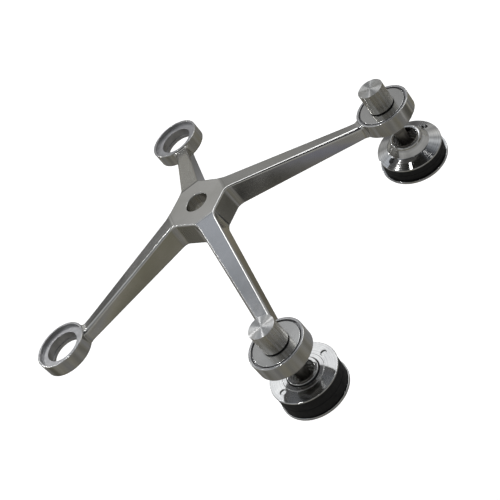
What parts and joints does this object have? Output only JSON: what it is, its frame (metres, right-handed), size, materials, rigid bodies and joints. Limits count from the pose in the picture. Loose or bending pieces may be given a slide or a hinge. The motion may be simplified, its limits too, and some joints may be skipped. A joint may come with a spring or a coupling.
{
  "type": "glass spider fitting",
  "caption": "Cast stainless steel spider bracket with a central bolt hole, sloping arms and rings; ball-jointed glass clamping bolts hang from two rings and tilt and turn.",
  "frame": {"origin": "middle of the hub bore, halfway between the two hub faces", "axes": "+Z along the hub bore towards the supporting structure; arms on the diagonals of X and Y; glass bolts on the rings at +X, glass on the -Z side"},
  "size_m": [0.2686, 0.2742, 0.0947],
  "materials": {
    "cast_steel": "polished cast stainless steel",
    "turned_steel": "turned stainless steel",
    "clamp_steel": "polished stainless steel",
    "stud_steel": "rolled thread, dull",
    "plain_steel": "plain machined",
    "gasket_rubber": "matt black",
    "liner_nylon": "white nylon",
    "bush_nylon": "grey nylon"
  },
  "bodies": {
    "spider": {"spider_body": "cast_steel", "cap_nut_1": "turned_steel", "upper_washer_1": "turned_steel", "lower_washer_1": "turned_steel", "lock_nut_1": "plain_steel", "ball_stud_1": "stud_steel", "cap_nut_2": "turned_steel", "upper_washer_2": "turned_steel", "lower_washer_2": "turned_steel", "lock_nut_2": "plain_steel", "ball_stud_2": "stud_steel"},
    "cup_1": {"lower_liner_1": "liner_nylon"},
    "seat_1": {"upper_liner_1": "liner_nylon"},
    "head_1": {"retaining_ring_1": "plain_steel", "clamp_flange_1": "clamp_steel", "inner_gasket_1": "gasket_rubber", "outer_gasket_1": "gasket_rubber", "glass_bush_1": "bush_nylon", "outer_disc_1": "clamp_steel"},
    "cup_2": {"lower_liner_2": "liner_nylon"},
    "seat_2": {"upper_liner_2": "liner_nylon"},
    "head_2": {"retaining_ring_2": "plain_steel", "clamp_flange_2": "clamp_steel", "inner_gasket_2": "gasket_rubber", "outer_gasket_2": "gasket_rubber", "glass_bush_2": "bush_nylon", "outer_disc_2": "clamp_steel"}
  },
  "joints": [
    {"name": "tilt_x_1", "type": "hinge", "parent": "spider", "child": "cup_1", "pos_m": [0.11, 0.11, -0.0665], "axis": [1, 0, 0], "range_deg": [-10.5, 5.5]},
    {"name": "tilt_y_1", "type": "hinge", "parent": "cup_1", "child": "seat_1", "pos_m": [0.11, 0.11, -0.0665], "axis": [0, 1, 0], "range_deg": [-19, 0]},
    {"name": "spin_1", "type": "hinge", "parent": "seat_1", "child": "head_1", "pos_m": [0.11, 0.11, -0.0665], "axis": [0.1906, -0.0436, 0.9807], "continuous": true},
    {"name": "tilt_x_2", "type": "hinge", "parent": "spider", "child": "cup_2", "pos_m": [0.11, -0.11, -0.064], "axis": [1, 0, 0], "range_deg": [-7, 9]},
    {"name": "tilt_y_2", "type": "hinge", "parent": "cup_2", "child": "seat_2", "pos_m": [0.11, -0.11, -0.064], "axis": [0, 1, 0], "range_deg": [-13.5, 4.5]},
    {"name": "spin_2", "type": "hinge", "parent": "seat_2", "child": "head_2", "pos_m": [0.11, -0.11, -0.064], "axis": [0.0958, 0.0175, 0.9952], "continuous": true}
  ]
}
